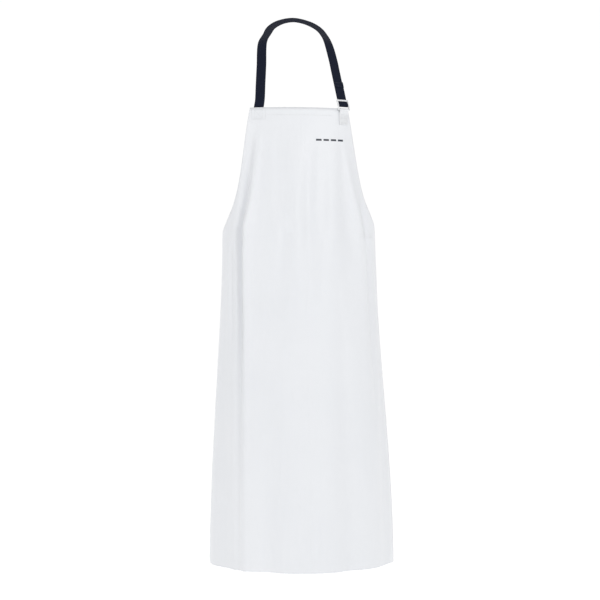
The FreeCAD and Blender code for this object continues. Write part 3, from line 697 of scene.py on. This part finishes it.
def cloth_run(cloth, start, end, offset):
    """A line over the cloth from one (arc, drop) to another, as (point, normal) every millimetre."""
    count = max(int(math.dist(start, end) / 0.001), 2)
    return [cloth.at(start[0] + (end[0] - start[0]) * t, start[1] + (end[1] - start[1]) * t, offset)
            for t in np.linspace(0.0, 1.0, count)]


def box_runs(cloth, centre, size, crossed, offset=0.0):
    """A sewn box over the cloth, with or without its cross."""
    left, right = centre[0] - size[0] / 2, centre[0] + size[0] / 2
    top, bottom = centre[1] - size[1] / 2, centre[1] + size[1] / 2
    corners = [(left, top), (right, top), (right, bottom), (left, bottom)]
    runs = [cloth_run(cloth, a, b, offset) for a, b in zip(corners, corners[1:] + corners[:1])]
    if crossed:
        runs.append(cloth_run(cloth, corners[0], corners[2], offset))
        runs.append(cloth_run(cloth, corners[1], corners[3], offset))
    return runs


# ================================================================ the apron panel and what is sewn on

def wearer_shape():
    """A hidden closed body just inside the hanging shape, for the cloth to rest on."""
    drops = spaced(-0.02, APRON_LENGTH + 0.05, 60)
    count = 96
    points, faces = [], []
    for drop in drops:
        half_width, half_depth, centre = section(max(drop, 0.0))
        for turn in np.linspace(0.0, 2 * math.pi, count, endpoint=False):
            points.append((centre[0] + (half_width - BODY_INSET) * math.sin(turn),
                           centre[1] - (half_depth - BODY_INSET) * math.cos(turn), -NECK_DROP - drop))
    for i in range(len(drops) - 1):
        for j in range(count):
            k = (j + 1) % count
            faces.append((i * count + j, (i + 1) * count + j, (i + 1) * count + k, i * count + k))
    mesh = bpy.data.meshes.new("wearer_shape")
    mesh.from_pydata(points, [], faces)
    body = bpy.data.objects.new("wearer_shape", mesh)
    bpy.context.scene.collection.objects.link(body)
    collision = body.modifiers.new("collision", "COLLISION")
    collision.settings.thickness_outer = 0.001
    collision.settings.cloth_friction = 8.0
    return body


def hold_weight(arc, drop):
    """How firmly a point keeps its place: 1 where it is sewn to something, a little elsewhere."""
    if drop < EDGE_INSET + NECK_PATCH[1] + 0.012:
        return 1.0
    away = math.hypot(abs(arc) - WAIST_ARC, drop - WAIST_DROP)
    return max(1.0 - smooth((away - 0.035) / 0.05), LOOSE_HOLD)


def settle(grid, rows):
    """Lets the hung cloth settle over a wearer's shape; sewn places stay, and no point moves far."""
    height, width = grid.shape[:2]
    shares = np.linspace(-1.0, 1.0, width)
    faces = [(i * width + j, (i + 1) * width + j, (i + 1) * width + j + 1, i * width + j + 1)
             for i in range(height - 1) for j in range(width - 1)]
    mesh = bpy.data.meshes.new("settling_cloth")
    mesh.from_pydata([tuple(p) for p in grid.reshape(-1, 3)], [], faces)
    cloth = bpy.data.objects.new("settling_cloth", mesh)
    bpy.context.scene.collection.objects.link(cloth)
    held = cloth.vertex_groups.new(name="held")
    for i, (drop, half) in enumerate(rows):
        for j, share in enumerate(shares):
            held.add([i * width + j], float(hold_weight(share * half, drop)), "REPLACE")
    body = wearer_shape()
    modifier = cloth.modifiers.new("cloth", "CLOTH")
    settings = modifier.settings
    settings.quality = 8
    settings.mass = 0.02
    settings.tension_stiffness = 60.0
    settings.compression_stiffness = 60.0
    settings.shear_stiffness = 20.0
    settings.bending_stiffness = 1.5
    settings.air_damping = 4.0
    settings.vertex_group_mass = "held"
    settings.pin_stiffness = 0.6
    modifier.collision_settings.distance_min = 0.002
    modifier.collision_settings.use_self_collision = False
    modifier.point_cache.frame_start = 1
    modifier.point_cache.frame_end = SETTLE_FRAMES
    scene = bpy.context.scene
    for number in range(1, SETTLE_FRAMES + 1):
        scene.frame_set(number)
    shape = cloth.evaluated_get(bpy.context.evaluated_depsgraph_get())
    flat = np.empty(height * width * 3)
    shape.data.vertices.foreach_get("co", flat)
    moved = flat.reshape(height, width, 3) - grid
    scene.frame_set(1)
    for piece in (cloth, body):
        data = piece.data
        bpy.data.objects.remove(piece)
        bpy.data.meshes.remove(data)
    reach = np.linalg.norm(moved, axis=2, keepdims=True)
    return grid + moved * np.minimum(1.0, SETTLE_LIMIT / np.maximum(reach, 1e-9))


def apron_cloth():
    grid, rows = hung_grid()
    grid = settle(grid, rows)
    grid = refined(grid)
    drops, halves = refined(np.array(rows)[:, None, :].repeat(4, 1))[:, 0].T
    cloth = Cloth(grid, drops, halves)
    shares = np.linspace(-1.0, 1.0, cloth.columns)
    uv = np.stack([halves[:, None] * shares[None, :], np.repeat(drops[:, None], cloth.columns, 1)], 2)
    inner = cloth.points - cloth.normals * CLOTH
    points, faces, uvs, sides = sheet_mesh(cloth.points, inner, uv)
    piece = add_piece("apron_cloth", points, faces, uvs, [COATED, BACKING], "apron",
                      ["apron_panel"], sides)
    return cloth


def sewn_layers(cloth):
    """The strip and the patches on the inner side, and the seams that show on the front."""
    reach = BIB_HALF - EDGE_INSET
    cloth_layer(cloth, "edge_strip_cloth", spaced(-reach, reach, 61),
                spaced(EDGE_INSET, EDGE_INSET + STRIP_WIDTH, 7), -CLOTH - LAYER_LIFT, STRIP_THICK,
                BACKING, ["top_edge_strip"])
    for side, word in ((-1, "left"), (1, "right")):
        arc = side * PATCH_ARC
        cloth_layer(cloth, f"bib_corner_{word}",
                    spaced(arc - NECK_PATCH[0] / 2, arc + NECK_PATCH[0] / 2, 15),
                    spaced(EDGE_INSET, EDGE_INSET + NECK_PATCH[1], 11), -CLOTH - PATCH_LIFT, PATCH_THICK,
                    BACKING, [f"neck_patch_{word}"])
        arc = side * WAIST_ARC
        cloth_layer(cloth, f"waist_corner_{word}",
                    spaced(arc - WAIST_PATCH[0] / 2, arc + WAIST_PATCH[0] / 2, 21),
                    spaced(WAIST_DROP - WAIST_PATCH[1] / 2, WAIST_DROP + WAIST_PATCH[1] / 2, 21),
                    -CLOTH - LAYER_LIFT, PATCH_THICK, BACKING, [f"waist_patch_{word}"])
        add_stitches(f"waist_seam_{word}",
                     box_runs(cloth, (arc, WAIST_DROP), (WAIST_SEWN - 0.010, WEBBING_WIDTH - 0.006), True),
                     "apron", [f"waist_stitches_{word}"])
    drop = EDGE_INSET + STRIP_WIDTH - 0.002
    reach = PATCH_ARC - NECK_PATCH[0] / 2 - EDGE_INSET
    add_stitches("edge_seam", [cloth_run(cloth, (-reach, drop), (reach, drop), 0.0)],
                 "apron", ["top_edge_stitches"])
    middle = EDGE_INSET + NECK_PATCH[1] / 2
    seams = box_runs(cloth, (ANCHOR_ARC, middle), (WEBBING_WIDTH - 0.005, NECK_PATCH[1] - 0.007), True)
    seams += box_runs(cloth, (-PATCH_ARC, middle), (NECK_PATCH[0] - 0.003, NECK_PATCH[1] - 0.003), False)
    add_stitches("neck_anchor_seam", seams, "apron", ["neck_anchor_stitches"])


# ================================================================ neck loop

def unit(vector):
    vector = np.array(vector, float)
    return vector / np.linalg.norm(vector)


class Frame:
    """A local frame: x along the bar, y towards the wearer, z the way the webbing leaves."""

    def __init__(self, origin, x, z):
        self.origin = np.array(origin, float)
        self.x = unit(x)
        self.z = unit(z)
        self.y = np.cross(self.z, self.x)

    def place(self, y, z, x=0.0):
        return self.origin + self.x * x + self.y * y + self.z * z


NECK_FRAME = Frame(JOINTS["neck_loop_fold"]["pos_m"], JOINTS["neck_loop_fold"]["axis"],
                   JOINTS["neck_tail_slide"]["axis"])


def clip_frame():
    """The waist clip's frame, read from the latch's CAD node."""
    low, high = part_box("waist_latch")
    middle_y = (low[1] + high[1]) / 2
    middle_z = (low[2] + high[2]) / 2
    return Frame((high[0] - RAIL_HEIGHT, middle_y, middle_z), (0, 0, 1), (1, 0, 0))


def outward(heading, rise):
    level = math.cos(math.radians(rise))
    return (level * math.cos(math.radians(heading)), level * math.sin(math.radians(heading)),
            math.sin(math.radians(rise)))


def threaded_path(frame_):
    """Webbing from above the lip bar, behind both bars, round the middle bar and back under the lip."""
    turn_z = MIDDLE_BAR[0] + 0.0006
    path = [frame_.place(LOAD_MIDDLE, z) for z in np.linspace(RAIL_HEIGHT + RAIL_GAP, turn_z, 12)]
    for angle in np.radians(np.linspace(0.0, 180.0, 13))[1:]:
        path.append(frame_.place(LOAD_MIDDLE * math.cos(angle), turn_z - LOAD_MIDDLE * math.sin(angle)))
    front = -LOAD_MIDDLE
    rise = MIDDLE_BAR[1] + LAYER_GAP
    under = LIP_BAR[0] - LAYER_GAP
    path += [frame_.place(front, z) for z in np.linspace(turn_z, rise, 4)[1:]]
    for t in np.linspace(0.0, 1.0, 9)[1:]:
        path.append(frame_.place(front + (TAIL_MIDDLE - front) * smooth(t), rise + (under - rise) * t))
    path += [frame_.place(TAIL_MIDDLE, z) for z in np.linspace(under, RAIL_HEIGHT, 4)[1:]]
    return path


def neck_webbing(cloth):
    """The neck strap in one length: sewn behind the bib, over the shoulders, and into the buckle."""
    offset = -CLOTH - NECK_WEBBING_DEPTH - WEBBING / 2
    centres, acrosses = [], []
    foot_across = cloth.at(ANCHOR_ARC - 0.005, 0.01)[0] - cloth.at(ANCHOR_ARC + 0.005, 0.01)[0]
    for drop in (ANCHOR_LENGTH - ANCHOR_RISE, 0.024, 0.012, 0.0, -ANCHOR_RISE):
        centres.append(cloth.at(ANCHOR_ARC, drop, offset)[0])
        acrosses.append(unit(foot_across))
    side = np.array(NECK_SIDE_LEFT[:3])
    foot = cloth.at(ANCHOR_ARC, -ANCHOR_RISE - 0.012, offset)[0]
    for share in (0.0, 0.3, 0.6):
        centres.append(foot + (side - foot) * share)
        acrosses.append(unit(foot_across))
    centres.append(side)
    acrosses.append(outward(*NECK_SIDE_LEFT[3:]))
    for x, y, z, heading, rise in (SHOULDER, NECK_CORNER, NECK_BACK):
        centres.append((-x, y, z))
        acrosses.append(outward(180.0 - heading, rise))
    centres.append((0.0, WEBBING / 2, 0.0))
    acrosses.append(outward(90.0, NECK_RISE))
    for x, y, z, heading, rise in (NECK_BACK, NECK_CORNER, SHOULDER, NECK_SIDE_RIGHT):
        centres.append((x, y, z))
        acrosses.append(outward(heading, rise))
    leg = np.linalg.norm(np.array(NECK_SIDE_RIGHT[:3]) - NECK_FRAME.origin)
    for share in (0.7, 0.5, 0.3, 0.15, 0.04):
        centres.append(NECK_FRAME.place(LOAD_MIDDLE, RAIL_HEIGHT + share * (leg - RAIL_HEIGHT)))
        acrosses.append(NECK_FRAME.x)
    centres, acrosses = smooth_route(centres, acrosses, 0.004)
    threaded = threaded_path(NECK_FRAME)
    centres = np.concatenate([centres, threaded])
    acrosses = np.concatenate([acrosses, np.repeat(NECK_FRAME.x[None, :], len(threaded), 0)])
    strap = add_ribbon("neck_webbing", centres, acrosses, WEBBING_WIDTH - WEBBING_PLAY, WEBBING, NAVY, None,
                       ["neck_strap", "neck_anchor_webbing"])
    start = Vector(cloth.at(ANCHOR_ARC, -ANCHOR_RISE, offset)[0])
    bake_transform(strap)


def folded_tail_path(frame_, length):
    """Free end of webbing in front of the load layer, its tip folded forward."""
    start = RAIL_HEIGHT + TAIL_GAP
    end = start + length
    fold = TAIL_MIDDLE - WEBBING - FOLD_GAP
    radius = (TAIL_MIDDLE - fold) / 2
    path = [frame_.place(TAIL_MIDDLE, z) for z in np.linspace(start, end - radius, 24)]
    for angle in np.radians(np.linspace(0.0, 180.0, 9))[1:]:
        path.append(frame_.place(TAIL_MIDDLE - radius + radius * math.cos(angle),
                                 end - radius + radius * math.sin(angle)))
    path += [frame_.place(fold, z) for z in np.linspace(end - radius, end - TAIL_FOLD, 6)[1:]]
    return path


def tail_piece(frame_, length, name, body, nodes):
    """The tail with its sewn fold."""
    path = folded_tail_path(frame_, length)
    tail = add_ribbon(f"{name}_webbing", path, [frame_.x] * len(path), WEBBING_WIDTH - WEBBING_PLAY, WEBBING,
                      NAVY, None, [nodes[0]])
    start = Vector(frame_.place(TAIL_MIDDLE, RAIL_HEIGHT + TAIL_GAP))
    end = Vector(frame_.place(TAIL_MIDDLE, RAIL_HEIGHT + 0.6 * length))
    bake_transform(tail)
    end_z = RAIL_HEIGHT + TAIL_GAP + length
    face = TAIL_MIDDLE - 1.5 * WEBBING - FOLD_GAP
    runs = []
    for inset in (0.003, TAIL_FOLD - 0.003):
        run = [(frame_.place(face, end_z - inset, x), -frame_.y)
               for x in np.linspace(-0.011, 0.011, 22)]
        runs.append(run)
    add_stitches(f"{name}_seam", runs, body, [nodes[1]], NAVY_THREAD)


def tape_loop(cloth):
    """White tape sewn to the bib front and looped round the buckle's base bar."""
    bar = np.array(JOINTS["neck_loop_fold"]["pos_m"])
    across = unit(JOINTS["neck_loop_fold"]["axis"])
    radius = BAR_RADIUS + 0.00025 + TAPE / 2
    back, front = 0.0001 + TAPE / 2, 0.0002 + 1.5 * TAPE
    low = BAR_BELOW_EDGE + TAPE_LENGTH
    path = [cloth.at(TAPE_ARC, drop, back)[0] for drop in np.linspace(low, 0.014, 10)]
    _, normal = cloth.at(TAPE_ARC, 0.003)
    up = np.array((0.0, 0.0, 1.0))
    for angle in np.radians(np.linspace(-10.0, 190.0, 15)):
        path.append(bar - normal * radius * math.cos(angle) + up * radius * math.sin(angle))
    path += [cloth.at(TAPE_ARC, drop, front)[0] for drop in np.linspace(0.014, low, 10)]
    centres, acrosses = smooth_route(path, [across] * len(path), 0.0012)
    add_ribbon("tape_loop", centres, acrosses, TAPE_WIDTH, TAPE, WHITE_TAPE, "apron",
               ["buckle_tape"])
    runs = []
    for drop in (BAR_BELOW_EDGE + TAPE_LENGTH * 0.55, BAR_BELOW_EDGE + TAPE_LENGTH * 0.87):
        for row in (-0.0011, 0.0, 0.0011):
            for middle in (-0.0055, 0.0055):
                runs.append(cloth_run(cloth, (TAPE_ARC + middle - 0.0032, drop + row),
                                      (TAPE_ARC + middle + 0.0032, drop + row), 2 * TAPE + 0.0002))
    add_stitches("tape_bar_tacks", runs, "apron", ["buckle_tape_stitches"])


# ================================================================ waist strap and clip

def waist_webbing(cloth, side):
    """Waist webbing from behind the cloth's corner towards the clip."""
    frame_ = clip_frame()
    offset = -CLOTH - WAIST_WEBBING_DEPTH - WEBBING / 2
    arc_start = SKIRT_HALF - WAIST_PATCH_INSET[0] - (WAIST_PATCH[0] + WAIST_SEWN) / 2
    half_width, half_depth, _ = section(WAIST_DROP)
    arc_end = ellipse_arcs(half_width, half_depth)[1][-1] - 0.072
    centres = [cloth.at(side * arc, WAIST_DROP, offset)[0] for arc in spaced(arc_start, SKIRT_HALF, 5)]
    centres += list(hanging_points(side * np.linspace(SKIRT_HALF + 0.03, arc_end, 5), WAIST_DROP, offset))
    if side > 0:
        end = RAIL_HEIGHT + RAIL_GAP
        run_in = [(LOAD_MIDDLE, end + 0.016), (LOAD_MIDDLE, end + 0.008), (LOAD_MIDDLE, end + 0.002)]
        threaded = threaded_path(frame_)
    else:
        middle = BAR_RADIUS + LAYER_GAP + WEBBING / 2
        fold_start, fold_end = (CLIP_BAR - reach for reach in SOCKET_FOLD)
        run_in = [(middle, fold_end - 0.016), (middle, fold_end - 0.008), (middle, fold_end - 0.002)]
        threaded = [frame_.place(middle, z) for z in np.linspace(fold_end, CLIP_BAR, 10)]
        for angle in np.radians(np.linspace(0.0, 180.0, 13))[1:]:
            threaded.append(frame_.place(middle * math.cos(angle), CLIP_BAR + middle * math.sin(angle)))
        flat = middle - WEBBING - LAYER_GAP
        for t in np.linspace(0.0, 1.0, 9)[1:]:
            threaded.append(frame_.place(-middle + (flat + middle) * smooth(t),
                                         CLIP_BAR + (fold_start - CLIP_BAR) * t))
        threaded += [frame_.place(flat, z) for z in np.linspace(fold_start, fold_end, 8)[1:]]
    centres += [frame_.place(y, z) for y, z in run_in]
    centres, acrosses = smooth_route(centres, [frame_.x] * len(centres), 0.004)
    centres = np.concatenate([centres, threaded])
    acrosses = np.repeat(frame_.x[None, :], len(centres), 0)
    word = "right" if side > 0 else "left"
    body = None if side > 0 else "apron"
    strap = add_ribbon(f"waist_webbing_{word}", centres, acrosses, WEBBING_WIDTH - WEBBING_PLAY, WEBBING,
                       NAVY, body, [f"waist_strap_{word}"])
    if side > 0:
        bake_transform(strap)


def repaint_clips():
    """The plastic CAD pieces keep their shape and get the moulded plastic."""
    for name in ("neck_buckle", "waist_socket", "waist_latch", "waist_latch_arms"):
        node = frame["nodes"][name]
        for entry in node.material_slots:
            entry.material = PLASTIC


# ================================================================ studio

def studio():
    floor = bpy.data.meshes.new("studio_floor")
    level = -NECK_DROP - APRON_LENGTH - FLOOR_BELOW_HEM
    signs = ((-1, -1), (1, -1), (1, 1), (-1, 1))
    corners = [(x * FLOOR_REACH, y * FLOOR_REACH, level) for x, y in signs]
    floor.from_pydata(corners, [], [(0, 1, 2, 3)])
    plane = bpy.data.objects.new("studio_floor", floor)
    bpy.context.scene.collection.objects.link(plane)
    m = Nodes("pale_floor")
    m.finish(m.blend(m.noise(0.4, 2.0), (0.93, 0.93, 0.93), (0.96, 0.96, 0.96)), 0.85,
             m.bump(m.noise(30.0, 2.0), 0.0005, 0.1), Emission_Color=(1.0, 1.0, 1.0, 1.0),
             Emission_Strength=FLOOR_GLOW)
    floor.materials.append(m.material)

    world = bpy.data.worlds.new("studio")
    world.use_nodes = True
    nodes, links = world.node_tree.nodes, world.node_tree.links
    place = nodes.new("ShaderNodeTexCoord")
    split = nodes.new("ShaderNodeSeparateXYZ")
    spread = nodes.new("ShaderNodeMapRange")
    links.new(place.outputs["Generated"], split.inputs[0])
    links.new(split.outputs["Y"], spread.inputs["Value"])
    spread.inputs["From Min"].default_value = 0.2
    spread.inputs["From Max"].default_value = 0.9
    spread.inputs["To Min"].default_value = BACKGROUND_FRONT
    spread.inputs["To Max"].default_value = BACKGROUND_BEHIND
    links.new(spread.outputs["Result"], nodes["Background"].inputs["Strength"])
    nodes["Background"].inputs["Color"].default_value = (1.0, 1.0, 1.0, 1.0)
    bpy.context.scene.world = world

    for name, place, size, watts in LIGHTS:
        light = bpy.data.lights.new(name, "AREA")
        light.shape = "DISK"
        light.size = size
        light.energy = watts
        lamp = bpy.data.objects.new(name, light)
        lamp.location = place
        lamp.rotation_euler = (Vector(LIGHT_AIM) - Vector(place)).to_track_quat("-Z", "Y").to_euler()
        bpy.context.scene.collection.objects.link(lamp)

    camera = bpy.data.cameras.new("camera")
    camera.lens = LENS
    camera.sensor_width = 36.0
    eye = bpy.data.objects.new("camera", camera)
    turn = math.radians(CAMERA_AZIMUTH)
    aim = Vector(CAMERA_AIM)
    eye.location = aim + Vector((math.sin(turn), -math.cos(turn), 0.0)) * CAMERA_DISTANCE
    eye.rotation_euler = (aim - eye.location).to_track_quat("-Z", "Y").to_euler()
    bpy.context.scene.collection.objects.link(eye)
    bpy.context.scene.camera = eye
    bpy.context.scene.view_settings.view_transform = "Standard"


studio()
CLOTH_GRID = apron_cloth()
sewn_layers(CLOTH_GRID)
tape_loop(CLOTH_GRID)
neck_webbing(CLOTH_GRID)
tail_piece(NECK_FRAME, NECK_TAIL, "neck_tail", "neck_tail",
           ["neck_strap_tail", "neck_tail_stitches"])
waist_webbing(CLOTH_GRID, -1)
waist_webbing(CLOTH_GRID, 1)
tail_piece(clip_frame(), WAIST_TAIL, "waist_tail", "waist_tail",
           ["waist_strap_tail", "waist_tail_stitches"])
repaint_clips()
